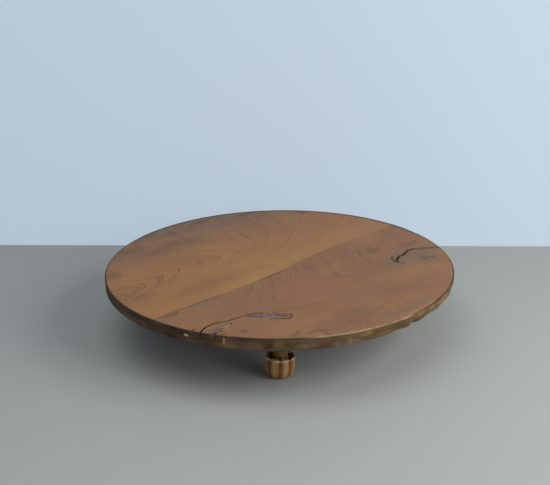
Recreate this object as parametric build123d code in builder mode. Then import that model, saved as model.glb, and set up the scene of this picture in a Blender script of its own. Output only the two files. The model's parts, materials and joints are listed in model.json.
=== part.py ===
from build123d import *
import os
from math import cos, radians, sin, sqrt, tan

# Folding low table: a round two-board top on four turned melon feet. Each pair of legs is tenoned
# into a swing rail and folds inwards with it; a turning bar across the rails locks both pairs open.
# Millimetres. +X along the grain of the top, +Y towards the wide board, +Z up, origin on the floor.

# Top
table_diameter = 757.5
table_height = 151.5
top_thickness = 26
glue_line_offset = 41          # the glue line lies this far in front of the middle
top_arris = 3                  # rounding of the rim's upper edge
underside_arris = 5            # rounding of the rim's lower edge

# Bamboo pins across the glue line
pin_diameter = 6
pin_length = 50
pin_end_margin = 90            # from the last pin to the end of the glue line
pin_count = 4

# Legs
foot_spread = 332              # from foot to foot, both ways
splay_angle = 6                # degrees, each pair leans outwards
bulb_diameter = 65
bulb_height = 46
lobe_count = 8
lobe_depth = 4.5               # from a ridge to a valley at the widest place
foot_contact_diameter = 34
dish_diameter = 56             # the hollow in the top of the bulb, which cuts its lobes into petal tips
dish_depth = 9
bead_diameter = 36
bead_height = 6
bead_round = 2                 # how far the bead bulges past its flat ends
neck_diameter = 31
neck_height = 6
shaft_diameter = 33
collar_diameter = 36
collar_height = 6
collar_round = 1
tenon_diameter = 20
wedge_width = 3
wedge_depth = 20

# Swing rails
rail_size = 36
rail_gap = 0.3                 # between a rail and the underside of the top
rail_overhang = 26             # past the middle of each leg
rail_arris = 3
pivot_diameter = 16
pivot_clearance = 0.08         # radial
glue_clearance = 0.05          # radial, round a glued tenon or pin

# Bearing blocks
block_width = 48
block_thickness = 30
block_wall = 12                # wood under the bore
block_arris = 8
block_end_gap = 1              # between a rail's shoulder and the block
pivot_end_gap = 2              # the pivot stops this far inside the block's outer face
pivot_end_chamfer = 1

# Battens
batten_width = 40
batten_depth = 22
batten_clearance = 1.5         # to the corner of a swinging rail
batten_rim_inset = 6
batten_bevel_run = 52
batten_end_depth = 2
batten_arris = 3
tongue_root = 24
tongue_crest = 30
tongue_height = 8
tongue_length = 36
tongue_end_margin = 35         # from the last pocket to the end of the batten
tongue_count = 4
pocket_clearance = 1

# Lock bar
bar_width = 30
bar_thickness = 14
bar_clearance = 1              # between the bar's ends and the rails
bar_arris = 2
lock_block_size = 60
lock_block_arris = 4
lock_screw_inset = 10          # from the block's sides to its screws
bush_diameter = 12
bush_stand = 0.2               # the bush is this much longer than the bar is thick
bar_screw_diameter = 8
bar_screw_head_diameter = 18
bar_screw_head_height = 5
bar_screw_slot = 2             # width and depth
bar_screw_grip = 12            # length in the top
washer_diameter = 22
washer_thickness = 1
axial_play = 0.2
peg_diameter = 8
peg_clearance = 0.3
peg_depth = 11                 # length in the block
peg_chamfer = 1

# Wood screws
screw_diameter = 4
screw_head_diameter = 8
screw_grip = 14                # length in the top
screw_clearance = 0.1          # radial
slot_width = 1.2
slot_depth = 1

drill_allowance = 1            # a blind hole is this much deeper than what sits in it
cut_allowance = 10             # a tool that cuts right through runs on this far

# Places that follow from these
top_radius = table_diameter / 2
underside = table_height - top_thickness
half = rail_size / 2
pivot_height = underside - rail_gap - half
foot_offset = foot_spread / 2
lean = tan(radians(splay_angle))
pivot_offset = foot_offset - pivot_height * lean
rail_end = foot_offset + rail_overhang
block_inner = rail_end + block_end_gap
block_outer = block_inner + block_thickness
pivot_end = block_outer - pivot_end_gap
block_bottom = pivot_height - pivot_diameter / 2 - block_wall
block_screw_offset = (pivot_diameter / 2 + block_width / 2) / 2
swing_radius = half * sqrt(2)
batten_offset = pivot_offset + swing_radius + batten_clearance + batten_width / 2
batten_reach = sqrt((top_radius - batten_rim_inset) ** 2 - (batten_offset + batten_width / 2) ** 2)
bar_top = pivot_height
bar_bottom = bar_top - bar_thickness
bar_radius = pivot_offset - half - bar_clearance
lock_block_bottom = bar_top + axial_play + washer_thickness
peg_offset = bar_width / 2 + peg_diameter / 2 + peg_clearance
lock_screw_offset = lock_block_size / 2 - lock_screw_inset
screw_bore = screw_diameter / 2 + screw_clearance
bar_screw_bore = bar_screw_diameter / 2 + screw_clearance

side_names = {-1: "left", 1: "right"}
end_names = {-1: "front", 1: "rear"}
corners = [(side, end) for side in side_names for end in end_names]

os.makedirs("parts", exist_ok=True)


def save(part, name):
    part.label = name
    export_step(part, f"parts/{name}.step")


# Top boards

# The blank is turned round, with its rim rounded more below than above.
with BuildPart() as blank:
    with BuildSketch(Plane.XZ) as rim_profile:
        with Locations((top_radius / 2, underside + top_thickness / 2)):
            Rectangle(top_radius, top_thickness)
        outer = rim_profile.vertices().group_by(Axis.X)[-1].sort_by(Axis.Y)
        fillet(outer[0], underside_arris)
        outer = rim_profile.vertices().group_by(Axis.X)[-1].sort_by(Axis.Y)
        fillet(outer[-1], top_arris)
    revolve(axis=Axis.Z)

pocket_length = tongue_length + pocket_clearance
tongue_reach = batten_reach - tongue_end_margin - pocket_length - tongue_length / 2
tongue_pitch = 2 * tongue_reach / (tongue_count - 1)
tongue_places = [i * tongue_pitch - tongue_reach for i in range(tongue_count)]


def dovetail_outline(height):
    flare = (tongue_crest - tongue_root) / 2 * height / tongue_height
    Polygon(
        (-tongue_root / 2, 0),
        (tongue_root / 2, 0),
        (tongue_root / 2 + flare, height),
        (-tongue_root / 2 - flare, height),
        align=None,
    )


def cut_round(places, radius, plane, depth, both=False):
    """Round holes of one size, cut into the part that is being built."""
    with BuildSketch(plane) as holes:
        with Locations(*places):
            Circle(radius)
    extrude(holes.sketch, amount=depth, both=both, mode=Mode.SUBTRACT)


def tongue_plane(side, y):
    """Where a dovetail tongue starts: its root lies on the underside of the top, towards the rear."""
    rear_end = (side * batten_offset, y + tongue_length / 2, underside)
    return Plane(rear_end, x_dir=(1, 0, 0), z_dir=(0, -1, 0))


def cut_board_recesses():
    """Everything that is cut or bored into the top from below, and the bores for the pins."""
    underside_plane = Plane.XY.offset(underside)
    for side in (-1, 1):
        for y in tongue_places:
            # the dovetail slot, and behind it the pocket through which the tongue is dropped in
            with BuildSketch(tongue_plane(side, y)) as slot:
                dovetail_outline(tongue_height)
            extrude(slot.sketch, amount=tongue_length, mode=Mode.SUBTRACT)
            with BuildSketch(underside_plane) as pocket:
                with Locations((side * batten_offset, y + tongue_length / 2 + pocket_length / 2)):
                    Rectangle(tongue_crest + pocket_clearance, pocket_length)
            extrude(pocket.sketch, amount=tongue_height, mode=Mode.SUBTRACT)
        for end in (-1, 1):
            cut_round(block_screw_places(side, end), screw_bore, underside_plane, screw_hole_depth)
    cut_round(lock_screw_places(), screw_bore, underside_plane, screw_hole_depth)
    cut_round([(0, 0)], bar_screw_bore, underside_plane, bar_screw_grip + drill_allowance)
    pin_hole_reach = pin_length / 2 + drill_allowance
    cut_round(pin_places, pin_diameter / 2 + glue_clearance, pin_plane, pin_hole_reach, both=True)


def block_screw_places(side, end):
    y = end * (block_inner + block_thickness / 2)
    return [(side * pivot_offset + dx, y) for dx in (-block_screw_offset, block_screw_offset)]


def lock_screw_places():
    return [(-lock_screw_offset, lock_screw_offset), (lock_screw_offset, -lock_screw_offset)]


screw_hole_depth = screw_grip + drill_allowance
glue_plane = Plane((0, -glue_line_offset, 0), x_dir=(1, 0, 0), z_dir=(0, -1, 0))
pin_level = underside + top_thickness / 2
pin_plane = Plane((0, -glue_line_offset, pin_level), x_dir=(1, 0, 0), z_dir=(0, -1, 0))
pin_reach = sqrt(top_radius**2 - glue_line_offset**2) - pin_end_margin
pin_places = [(pin_reach * (2 * i / (pin_count - 1) - 1), 0) for i in range(pin_count)]

with BuildPart() as top_board_wide:
    add(blank.part)
    cut_board_recesses()
    split(bisect_by=glue_plane, keep=Keep.BOTTOM)
save(top_board_wide.part, "top_board_wide")

with BuildPart() as top_board_narrow:
    add(blank.part)
    cut_board_recesses()
    split(bisect_by=glue_plane, keep=Keep.TOP)
save(top_board_narrow.part, "top_board_narrow")

with BuildPart() as joint_pins:
    with BuildSketch(pin_plane):
        with Locations(*pin_places):
            Circle(pin_diameter / 2)
    extrude(amount=pin_length / 2, both=True)
save(joint_pins.part, "joint_pins")

# Battens

for side, side_name in side_names.items():
    with BuildPart() as batten:
        bevel_start = batten_reach - batten_bevel_run
        with BuildSketch(Plane.YZ.offset(side * batten_offset)):
            with BuildLine():
                Polyline(
                    (-batten_reach, underside),
                    (-batten_reach, underside - batten_end_depth),
                    (-bevel_start, underside - batten_depth),
                    (bevel_start, underside - batten_depth),
                    (batten_reach, underside - batten_end_depth),
                    (batten_reach, underside),
                    close=True,
                )
            make_face()
        extrude(amount=batten_width / 2, both=True)
        lower_edges = batten.edges().filter_by(Axis.Y).group_by(Axis.Z)[0]
        chamfer(lower_edges, batten_arris)
        for y in tongue_places:
            with BuildSketch(tongue_plane(side, y)):
                dovetail_outline(tongue_height)
            extrude(amount=tongue_length)
    save(batten.part, f"batten_{side_name}")

# Bearing blocks


def screw_cone(place, height, wide_radius, narrow_radius, mode=Mode.ADD):
    """A countersunk head, or the sink for one, with its wide end at the given height."""
    with BuildSketch(Plane.XY.offset(height)) as wide_end:
        with Locations(place):
            Circle(wide_radius)
    with BuildSketch(Plane.XY.offset(height + wide_radius - narrow_radius)) as narrow_end:
        with Locations(place):
            Circle(narrow_radius)
    loft([wide_end.sketch, narrow_end.sketch], mode=mode)


def wood_screws(places, height, length):
    """Countersunk screws driven upwards, with their slotted heads flush at the given height."""
    for place in places:
        with BuildSketch(Plane.XY.offset(height)) as shank:
            with Locations(place):
                Circle(screw_diameter / 2)
        extrude(shank.sketch, amount=length)
        screw_cone(place, height, screw_head_diameter / 2, screw_diameter / 2)
    with BuildSketch(Plane.XY.offset(height)) as slots:
        with Locations(*places):
            Rectangle(screw_head_diameter, slot_width)
    extrude(slots.sketch, amount=slot_depth, mode=Mode.SUBTRACT)


def countersunk_bores(places, height, length):
    cut_round(places, screw_bore, Plane.XY.offset(height), length)
    for place in places:
        screw_cone(place, height, screw_head_diameter / 2 + screw_clearance, screw_bore, Mode.SUBTRACT)


for side, end in corners:
    with BuildPart() as bearing_block:
        inner_face = Plane((side * pivot_offset, end * block_inner, 0), x_dir=(1, 0, 0), z_dir=(0, -1, 0))
        with BuildSketch(inner_face) as outline:
            with Locations((0, (block_bottom + underside) / 2)):
                Rectangle(block_width, underside - block_bottom)
            fillet(outline.vertices().group_by(Axis.Y)[0], block_arris)
            with Locations((0, pivot_height)):
                Circle(pivot_diameter / 2 + pivot_clearance, mode=Mode.SUBTRACT)
        extrude(amount=-end * block_thickness)
        countersunk_bores(block_screw_places(side, end), block_bottom, underside - block_bottom)
    save(bearing_block.part, f"bearing_block_{side_names[side]}_{end_names[end]}")

with BuildPart() as bearing_screws:
    for side, end in corners:
        wood_screws(block_screw_places(side, end), block_bottom, underside - block_bottom + screw_grip)
save(bearing_screws.part, "bearing_screws")

# Swing rails


def leg_plane(side, end):
    """Origin at the foot, +Z up the leaning axis of the leg."""
    return Plane(
        (side * foot_offset, end * foot_offset, 0),
        x_dir=(cos(radians(splay_angle)), 0, side * sin(radians(splay_angle))),
        z_dir=(-side * sin(radians(splay_angle)), 0, cos(radians(splay_angle))),
    )


axis_length = pivot_height / cos(radians(splay_angle))
shoulder = axis_length - half           # where the leg meets the rail's slanting lower face


def rail_lower_face(offset):
    """Height of the rail's lower face, square to the legs, at a distance outwards from the pivot."""
    return pivot_height + offset * lean - half / cos(radians(splay_angle))


for side, side_name in side_names.items():
    with BuildPart() as swing_rail:
        with BuildSketch(Plane.XZ) as section:
            with BuildLine():
                inner_x = side * (pivot_offset - half)
                outer_x = side * (pivot_offset + half)
                start = (side * pivot_offset, pivot_height + half)
                middle = (side * (pivot_offset - half / sqrt(2)), pivot_height + half / sqrt(2))
                Line(start, (outer_x, pivot_height + half))
                Line((outer_x, pivot_height + half), (outer_x, rail_lower_face(half)))
                Line((outer_x, rail_lower_face(half)), (inner_x, rail_lower_face(-half)))
                Line((inner_x, rail_lower_face(-half)), (inner_x, pivot_height))
                ThreePointArc((inner_x, pivot_height), middle, start)
            make_face()
            fillet(section.vertices().sort_by(Axis.Y)[0:2], rail_arris)
        extrude(amount=rail_end, both=True)
        with BuildSketch(Plane.XZ):
            with Locations((side * pivot_offset, pivot_height)):
                Circle(pivot_diameter / 2)
        extrude(amount=pivot_end, both=True)
        pivot_tips = swing_rail.edges().filter_by(GeomType.CIRCLE).group_by(Axis.Y)
        chamfer(pivot_tips[0] + pivot_tips[-1], pivot_end_chamfer)
        for end in (-1, 1):
            with BuildSketch(leg_plane(side, end).offset(shoulder - cut_allowance)):
                Circle(tenon_diameter / 2 + glue_clearance)
            extrude(amount=rail_size + 2 * cut_allowance, mode=Mode.SUBTRACT)
    save(swing_rail.part, f"swing_rail_{side_name}")

# Legs

# The bulb's ridges, from the floor up: height above the floor as a share of the bulb's height, and
# radius as a share of its largest radius. The sides stand nearly upright below the petal tips.
foot_share = foot_contact_diameter / bulb_diameter
bulb_profile = [
    (-0.06, foot_share - 0.10),
    (0.0, foot_share),
    (0.10, 0.76),
    (0.22, 0.89),
    (0.40, 0.975),
    (0.62, 1.0),
    (0.80, 0.99),
    (0.92, 0.955),
    (1.0, 0.905),
]


def lobed_outline(ridge_radius):
    """Round lobes that meet in sharp valleys; the valleys lie along and across the grain."""
    valley_radius = ridge_radius * (1 - 2 * lobe_depth / bulb_diameter)
    step = 360 / lobe_count
    with BuildLine() as outline:
        for i in range(lobe_count):
            points = [(valley_radius, i), (ridge_radius, i + 0.5), (valley_radius, i + 1)]
            ThreePointArc(*[(r * cos(radians(k * step)), r * sin(radians(k * step))) for r, k in points])
    make_face(outline.edges())


def kerf_plane(side, end):
    """Looks along the leaning leg's side, so that a kerf extruded from it runs across the rail."""
    leg = leg_plane(side, end)
    return Plane(leg.origin, x_dir=(0, 1, 0), z_dir=leg.x_dir)


def wedge_outline():
    top = axis_length + half + cut_allowance
    tip = axis_length + half - wedge_depth
    spread = wedge_width / 2 * (top - tip) / wedge_depth
    Polygon((0, tip), (spread, top), (-spread, top), align=None)


def trim_to_rail(side):
    """Takes off what stands out of the rail's flat and rounded upper face."""
    with BuildSketch(Plane.XZ) as above_rail:
        with Locations((side * pivot_offset, pivot_height + half)):
            Rectangle(rail_size, rail_size)
        with Locations((side * pivot_offset, pivot_height)):
            Circle(half, mode=Mode.SUBTRACT)
        with Locations((side * (pivot_offset + half / 2), pivot_height + half / 2)):
            Rectangle(half, half, mode=Mode.SUBTRACT)
    extrude(above_rail.sketch, amount=foot_spread, both=True, mode=Mode.SUBTRACT)


dish_bottom = bulb_height - dish_depth
dish_floor = bead_diameter / 2 - 1     # radius of the dish's flat floor, just inside the bead
dish_overcut = 1                       # the dish is cut this far above the bulb
turned_root = dish_bottom - 2          # the turned part starts inside the bulb
bead_flat = bead_diameter / 2 - bead_round
bead_top = dish_bottom + bead_height
neck_top = bead_top + neck_height
collar_bottom = shoulder - collar_height
collar_flat = collar_diameter / 2 - collar_round
tenon_top = shoulder + rail_size + cut_allowance


def dish_outline():
    """Half the section of the hollow that the bead stands in."""
    rim = (dish_diameter / 2 + dish_overcut, bulb_height + dish_overcut)
    with BuildLine() as outline:
        Line((0, dish_bottom), (dish_floor, dish_bottom))
        wall = TangentArc((dish_floor, dish_bottom), rim, tangent=(1, 0))
        Polyline(wall @ 1, (0, bulb_height + dish_overcut), (0, dish_bottom))
    make_face(outline.edges())


def turned_outline():
    """Half the section of everything above the bulb: bead, neck, shaft, collar and tenon."""
    neck = neck_diameter / 2
    shaft = shaft_diameter / 2
    with BuildLine() as outline:
        Polyline((0, turned_root), (bead_flat, turned_root), (bead_flat, dish_bottom))
        ThreePointArc(
            (bead_flat, dish_bottom),
            (bead_diameter / 2, (dish_bottom + bead_top) / 2),
            (bead_flat, bead_top),
        )
        Polyline((bead_flat, bead_top), (neck, bead_top), (neck, neck_top))
        Spline((neck, neck_top), (shaft, collar_bottom), tangents=[(0, 1), (0, 1)])
        Line((shaft, collar_bottom), (collar_flat, collar_bottom))
        ThreePointArc(
            (collar_flat, collar_bottom),
            (collar_diameter / 2, (collar_bottom + shoulder) / 2),
            (collar_flat, shoulder),
        )
        Polyline(
            (collar_flat, shoulder),
            (tenon_diameter / 2, shoulder),
            (tenon_diameter / 2, tenon_top),
            (0, tenon_top),
            (0, turned_root),
        )
    make_face(outline.edges())


for side, end in corners:
    leg_axis = leg_plane(side, end)
    turning_plane = Plane(leg_axis.origin, x_dir=leg_axis.x_dir, z_dir=(0, -1, 0))
    with BuildPart() as leg:
        for height_share, radius_share in bulb_profile:
            with BuildSketch(leg_axis.offset(height_share * bulb_height)):
                lobed_outline(radius_share * bulb_diameter / 2)
        loft()
        with BuildSketch(turning_plane):
            dish_outline()
        revolve(axis=Axis(leg_axis.origin, leg_axis.z_dir), mode=Mode.SUBTRACT)
        with BuildSketch(turning_plane):
            turned_outline()
        revolve(axis=Axis(leg_axis.origin, leg_axis.z_dir))
        with BuildSketch(kerf_plane(side, end)):
            wedge_outline()
        extrude(amount=tenon_diameter, both=True, mode=Mode.SUBTRACT)
        split(bisect_by=Plane.XY, keep=Keep.TOP)
        trim_to_rail(side)
    save(leg.part, f"leg_{side_names[side]}_{end_names[end]}")

for side, side_name in side_names.items():
    with BuildPart() as tenon_wedges:
        for end in (-1, 1):
            with BuildSketch(kerf_plane(side, end)):
                wedge_outline()
            extrude(amount=tenon_diameter, both=True)
        with BuildSketch(leg_plane(side, -1), leg_plane(side, 1)):
            Circle(tenon_diameter / 2)
        extrude(amount=table_height, mode=Mode.INTERSECT)
        trim_to_rail(side)
    save(tenon_wedges.part, f"tenon_wedges_{side_name}")

# Lock

with BuildPart() as lock_block:
    with BuildSketch(Plane.XY.offset(lock_block_bottom)):
        RectangleRounded(lock_block_size, lock_block_size, lock_block_arris)
        Circle(bar_screw_bore, mode=Mode.SUBTRACT)
    extrude(amount=underside - lock_block_bottom)
    with BuildSketch(Plane.XY.offset(lock_block_bottom)):
        with Locations((peg_offset, peg_offset)):
            Circle(peg_diameter / 2 + glue_clearance)
    extrude(amount=peg_depth, mode=Mode.SUBTRACT)
    countersunk_bores(lock_screw_places(), lock_block_bottom, underside - lock_block_bottom)
save(lock_block.part, "lock_block")

with BuildPart() as lock_block_screws:
    wood_screws(lock_screw_places(), lock_block_bottom, underside - lock_block_bottom + screw_grip)
save(lock_block_screws.part, "lock_block_screws")

with BuildPart() as lock_stop_peg:
    with BuildSketch(Plane.XY.offset(bar_bottom)):
        with Locations((peg_offset, peg_offset)):
            Circle(peg_diameter / 2)
    extrude(amount=lock_block_bottom + peg_depth - bar_bottom)
    chamfer(lock_stop_peg.edges().group_by(Axis.Z)[0], peg_chamfer)
save(lock_stop_peg.part, "lock_stop_peg")

# The bar is stored turned away, along the rails; its ends are arcs about its own screw.
with BuildPart() as lock_bar:
    with BuildSketch(Plane.XY.offset(bar_bottom)):
        Circle(bar_radius)
        Rectangle(bar_width, table_diameter, mode=Mode.INTERSECT)
        Circle(bush_diameter / 2 + glue_clearance, mode=Mode.SUBTRACT)
    extrude(amount=bar_thickness)
    long_edges = lock_bar.edges().filter_by(Axis.Y)
    chamfer(long_edges, bar_arris)
save(lock_bar.part, "lock_bar")

with BuildPart() as lock_bar_bush:
    with BuildSketch(Plane.XY.offset(bar_bottom - bush_stand / 2)):
        Circle(bush_diameter / 2)
        Circle(bar_screw_diameter / 2 + pivot_clearance, mode=Mode.SUBTRACT)
    extrude(amount=bar_thickness + bush_stand)
save(lock_bar_bush.part, "lock_bar_bush")

head_top = bar_bottom - axial_play - washer_thickness
with BuildPart() as lock_pivot_washers:
    for z in (bar_top + axial_play, head_top):
        with BuildSketch(Plane.XY.offset(z)):
            Circle(washer_diameter / 2)
            Circle(bar_screw_bore, mode=Mode.SUBTRACT)
        extrude(amount=washer_thickness)
save(lock_pivot_washers.part, "lock_pivot_washers")

with BuildPart() as lock_pivot_screw:
    with BuildSketch(Plane.XZ):
        with BuildLine():
            head_radius = bar_screw_head_diameter / 2
            ThreePointArc(
                (0, head_top - bar_screw_head_height),
                (head_radius * sin(radians(45)), head_top - bar_screw_head_height * cos(radians(45))),
                (head_radius, head_top),
            )
            Polyline(
                (head_radius, head_top),
                (bar_screw_diameter / 2, head_top),
                (bar_screw_diameter / 2, underside + bar_screw_grip),
                (0, underside + bar_screw_grip),
                (0, head_top - bar_screw_head_height),
            )
        make_face()
    revolve(axis=Axis.Z)
    with BuildSketch(Plane.XY.offset(head_top - bar_screw_head_height)):
        Rectangle(bar_screw_head_diameter, bar_screw_slot)
    extrude(amount=bar_screw_slot, mode=Mode.SUBTRACT)
save(lock_pivot_screw.part, "lock_pivot_screw")
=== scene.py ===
import bpy
import json
import random
from math import atan2, cos, degrees, hypot, pi, radians, sin, sqrt, tan
from mathutils import Matrix, Vector, noise


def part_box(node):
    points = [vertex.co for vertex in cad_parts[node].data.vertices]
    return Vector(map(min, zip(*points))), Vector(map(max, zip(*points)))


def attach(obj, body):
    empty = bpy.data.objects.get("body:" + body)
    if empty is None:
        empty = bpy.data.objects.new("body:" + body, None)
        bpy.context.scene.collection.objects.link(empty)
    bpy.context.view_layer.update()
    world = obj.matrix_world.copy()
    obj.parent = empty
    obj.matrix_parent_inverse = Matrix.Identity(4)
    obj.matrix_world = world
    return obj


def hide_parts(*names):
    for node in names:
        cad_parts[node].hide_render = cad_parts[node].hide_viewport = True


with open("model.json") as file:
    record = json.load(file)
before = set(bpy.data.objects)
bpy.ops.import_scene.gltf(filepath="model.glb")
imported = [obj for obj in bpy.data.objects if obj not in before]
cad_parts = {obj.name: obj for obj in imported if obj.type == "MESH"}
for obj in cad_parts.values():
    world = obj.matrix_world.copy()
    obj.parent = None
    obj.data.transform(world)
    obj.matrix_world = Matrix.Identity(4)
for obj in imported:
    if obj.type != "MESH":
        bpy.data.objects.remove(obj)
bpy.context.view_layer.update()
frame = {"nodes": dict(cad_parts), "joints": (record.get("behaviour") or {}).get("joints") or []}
cadNodes = frame["nodes"]
random.seed(25)
mm = 0.001

# Sizes that every piece is worked out from
wideLow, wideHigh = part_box("top_board_wide")
rimRadius = (wideHigh.x - wideLow.x) / 2
topLevel = wideHigh.z
underLevel = wideLow.z
thickness = topLevel - underLevel
glueLine = wideLow.y
jointByName = {j["name"]: j for j in frame["joints"]}
pivotOffset, _, pivotLevel = jointByName["right_legs_fold"]["pos_m"]
footSpot = 166 * mm                       # from the middle to each foot, both ways
splay = atan2(footSpot - pivotOffset, pivotLevel)


# Mesh helpers

def deselectAll():
    for one in bpy.context.selected_objects:
        one.select_set(False)


def selectOnly(piece):
    deselectAll()
    piece.select_set(True)
    bpy.context.view_layer.objects.active = piece


def nameIt(name):
    piece = bpy.context.active_object
    piece.name = piece.data.name = name
    return piece


def applyModifier(piece, kind, **settings):
    selectOnly(piece)
    step = piece.modifiers.new(kind.title(), kind)
    for key, value in settings.items():
        setattr(step, key, value)
    bpy.ops.object.modifier_apply(modifier=step.name)


def copyOf(piece, name):
    twin = piece.copy()
    twin.data = piece.data.copy()
    twin.name = twin.data.name = name
    bpy.context.scene.collection.objects.link(twin)
    return twin


def putInPlace(piece):
    selectOnly(piece)
    bpy.ops.object.transform_apply(location=True, rotation=True, scale=True)


def openMesh(piece):
    selectOnly(piece)
    bpy.ops.object.mode_set(mode="EDIT")
    bpy.ops.mesh.select_all(action="SELECT")


def closeMesh():
    bpy.ops.object.mode_set(mode="OBJECT")


def cutAcross(place, direction, **settings):
    bpy.ops.mesh.select_all(action="SELECT")
    bpy.ops.mesh.bisect(plane_co=place, plane_no=direction, **settings)


def pickFaces(piece, wanted):
    bpy.ops.object.mode_set(mode="OBJECT")
    for part in (*piece.data.vertices, *piece.data.edges):
        part.select = False
    for face in piece.data.polygons:
        face.select = wanted(face)
    bpy.context.tool_settings.mesh_select_mode = (False, False, True)
    bpy.ops.object.mode_set(mode="EDIT")


# Shader helpers

class Wire:                               # a number in a node tree that takes plain arithmetic
    def __init__(self, tree, socket):
        self.tree, self.socket = tree, socket

    def calc(self, operation, *others):
        made = self.tree.nodes.new("ShaderNodeMath")
        made.operation = operation
        for slot, value in enumerate((self, *others)):
            plug(self.tree, made.inputs[slot], value)
        return Wire(self.tree, made.outputs[0])

    def __add__(self, other):
        return self.calc("ADD", other)

    def __sub__(self, other):
        return self.calc("SUBTRACT", other)

    def __mul__(self, other):
        return self.calc("MULTIPLY", other)

    def __truediv__(self, other):
        return self.calc("DIVIDE", other)

    def least(self, other):
        return self.calc("MINIMUM", other)

    def most(self, other):
        return self.calc("MAXIMUM", other)

    def size(self):                       # without its sign
        return self.calc("ABSOLUTE")

    def slant(self, other):               # the long side over two short ones
        return (self * self + other * other).calc("SQRT")

    def bell(self):                       # 1 at nought, and less and less to both sides
        return (self * self * -1.0).calc("EXPONENT")

    def over(self, span):                 # a step between two places, given in mm
        low, high, *ends = span
        return self.step(low * mm, high * mm, *ends)

    def step(self, low, high, start=0.0, end=1.0):
        made = self.tree.nodes.new("ShaderNodeMapRange")
        made.interpolation_type = "SMOOTHSTEP"
        for slot, value in enumerate((self, low, high, start, end)):
            plug(self.tree, made.inputs[slot], value)
        return Wire(self.tree, made.outputs[0])


def plug(tree, socket, value):
    if isinstance(value, Wire):
        value = value.socket
    if isinstance(value, bpy.types.NodeSocket):
        tree.links.new(value, socket)
    else:
        socket.default_value = value


def addNode(tree, kind, inputs=None, **settings):
    made = tree.nodes.new("ShaderNode" + kind)
    for key, value in settings.items():
        setattr(made, key, value)
    for key, value in (inputs or {}).items():
        plug(tree, made.inputs[key], value)
    return made


def axes(tree, vector):
    parts = addNode(tree, "SeparateXYZ", {0: vector})
    return [Wire(tree, parts.outputs[i]) for i in range(3)]


def joined(tree, x, y, z=0.0):
    return addNode(tree, "CombineXYZ", {0: x, 1: y, 2: z}).outputs[0]


def vectorCalc(tree, operation, *vectors):
    return addNode(tree, "VectorMath", dict(enumerate(vectors)), operation=operation).outputs[0]


def vectorNumber(tree, operation, *vectors):
    made = addNode(tree, "VectorMath", dict(enumerate(vectors)), operation=operation)
    return Wire(tree, made.outputs["Value"])


def speckle(tree, vector, scale, detail=2.0, roughness=0.5):
    made = addNode(tree, "TexNoise", {
        "Vector": vector, "Scale": scale, "Detail": detail, "Roughness": roughness})
    return Wire(tree, made.outputs[0])


# Noise with its own count of waves to a metre each way
def stretched(tree, parts, counts, detail=2.0, roughness=0.5):
    scaled = [part * count for part, count in zip(parts, counts)]
    return speckle(tree, joined(tree, *scaled), 1.0, detail, roughness)


def blendColour(tree, amount, below, above):
    made = addNode(tree, "Mix", data_type="RGBA")
    plug(tree, made.inputs[0], amount)
    plug(tree, made.inputs[6], below)
    plug(tree, made.inputs[7], above)
    return made.outputs[2]


class Coats:                              # a colour that is painted over, one coat after another
    def __init__(self, tree, tones, amount, below, above):
        self.tree, self.tones = tree, tones
        self.colour = self.named(below)
        self.add(amount, above)

    def named(self, tone):
        return self.tones[tone] if isinstance(tone, str) else tone

    def add(self, amount, tone):
        self.colour = blendColour(self.tree, amount, self.colour, self.named(tone))


class Bundle:                             # values that are passed on together, each under its name
    def __init__(self, **values):
        for key, value in values.items():
            setattr(self, key, value)


def linear(red, green, blue):             # an sRGB colour of 0-255, as the shader wants it
    def one(c):
        c /= 255
        return c / 12.92 if c <= 0.04045 else ((c + 0.055) / 1.055) ** 2.4
    return (one(red), one(green), one(blue), 1.0)


def grey(value):
    return (value, value, value, 1.0)


def newGroup(name, outputs, **inputs):    # the outputs are numbers; an input is of the kind of its value
    tree = bpy.data.node_groups.new(name, "ShaderNodeTree")
    for label, value in inputs.items():
        kind = "NodeSocketVector" if isinstance(value, tuple) else "NodeSocketFloat"
        tree.interface.new_socket(label, in_out="INPUT", socket_type=kind).default_value = value
    for label in outputs:
        tree.interface.new_socket(label, in_out="OUTPUT", socket_type="NodeSocketFloat")
    return tree, tree.nodes.new("NodeGroupInput").outputs, tree.nodes.new("NodeGroupOutput").inputs


def useGroup(tree, group, **inputs):
    made = tree.nodes.new("ShaderNodeGroup")
    made.node_tree = group
    for key, value in inputs.items():
        plug(tree, made.inputs[key], value)
    return [Wire(tree, socket) for socket in made.outputs]


def newMaterial(name):
    made = bpy.data.materials.new(name)
    made.use_nodes = True
    tree = made.node_tree
    shader = tree.nodes["Principled BSDF"]
    place = tree.nodes.new("ShaderNodeTexCoord").outputs["Object"]
    return made, tree, shader, place


def dressShader(tree, shader, colour, roughness, relief, bump):
    plug(tree, shader.inputs["Base Color"], colour)
    plug(tree, shader.inputs["Roughness"], roughness)
    made = addNode(tree, "Bump", {"Strength": 1.0, "Distance": bump, "Height": relief})
    plug(tree, shader.inputs["Normal"], made.outputs[0])


# Effects that several finishes share

ringLook = dict(
    ends=1.0,                             # how dark a ring is at its dense start
    fade=((0.1, 0.55), (0.3, 0.1), (0.78, 0.2)),   # share of the ring, and how dark it is there
    waver=0.3,                            # how far the fibre moves a ring, in rings
    strength=(0.36, 0.66, 0.12, 1.0),     # some rings are drawn faintly and some in full
)


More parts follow.
